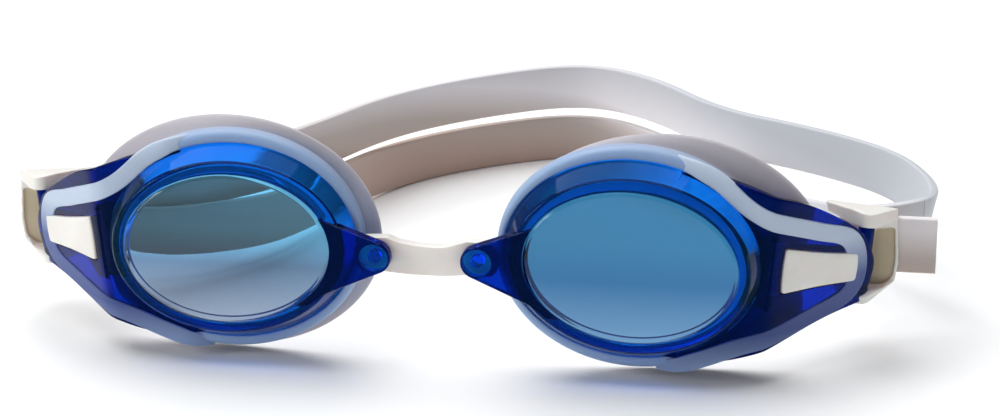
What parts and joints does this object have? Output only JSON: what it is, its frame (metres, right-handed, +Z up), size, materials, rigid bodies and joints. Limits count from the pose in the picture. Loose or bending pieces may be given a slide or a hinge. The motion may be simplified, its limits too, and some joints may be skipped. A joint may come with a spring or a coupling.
{
  "type": "swim goggles",
  "caption": "Swim goggles with tinted oval lenses in clear blue frames, soft face seals, a nose bridge, side clips and a split silicone head strap.",
  "frame": {"origin": "centre of the bounding box at the table, on which the seals and the strap stand", "axes": "+X along the goggles' width (the wearer's left, the viewer's right, when seen from the front), -Y the way the lenses face, +Z up"},
  "size_m": [0.177, 0.13, 0.046],
  "materials": {
    "blue_plastic": "clear cobalt blue polycarbonate, polished",
    "lens_tint": "smoky blue tinted polycarbonate, polished",
    "seal_silicone": "frosted translucent silicone, pale lavender",
    "strap_silicone": "frosted translucent silicone, grey beige",
    "white_plastic": "off-white moulded plastic, satin"
  },
  "bodies": {
    "bridge_and_strap": {"nose_bridge": "white_plastic", "head_strap": "strap_silicone"},
    "right_cup": {"right_frame": "blue_plastic", "right_lens": "lens_tint", "right_seal": "seal_silicone"},
    "left_cup": {"left_frame": "blue_plastic", "left_lens": "lens_tint", "left_seal": "seal_silicone"},
    "right_clip": {"right_strap_clip": "white_plastic"},
    "left_clip": {"left_strap_clip": "white_plastic"},
    "right_button": {"right_release_button": "white_plastic"},
    "left_button": {"left_release_button": "white_plastic"}
  },
  "joints": [
    {"name": "right_cup_pivot", "type": "hinge", "parent": "bridge_and_strap", "child": "right_cup", "pos_m": [0.00607, -0.06139, 0.02327], "axis": [0, 1, 0], "range_deg": [-6, 6], "deforming": ["head_strap"]},
    {"name": "right_clip_swing", "type": "hinge", "parent": "right_cup", "child": "right_clip", "pos_m": [0.07484, -0.04299, 0.02027], "axis": [0.0785, 0, 0.9969], "range_deg": [-8, 10], "deforming": ["head_strap"]},
    {"name": "right_button_press", "type": "slide", "parent": "right_cup", "child": "right_button", "axis": [-0.6716, 0.739, 0.0529], "range_m": [0, 0.001], "stiffness_N_per_m": 900},
    {"name": "left_cup_pivot", "type": "hinge", "parent": "bridge_and_strap", "child": "left_cup", "pos_m": [-0.01294, -0.06139, 0.02327], "axis": [0, -1, 0], "range_deg": [-6, 6], "deforming": ["head_strap"]},
    {"name": "left_clip_swing", "type": "hinge", "parent": "left_cup", "child": "left_clip", "pos_m": [-0.08171, -0.04299, 0.02027], "axis": [0.0785, 0, -0.9969], "range_deg": [-8, 10], "deforming": ["head_strap"]},
    {"name": "left_button_press", "type": "slide", "parent": "left_cup", "child": "left_button", "axis": [0.6716, 0.739, 0.0529], "range_m": [0, 0.001], "stiffness_N_per_m": 900}
  ]
}
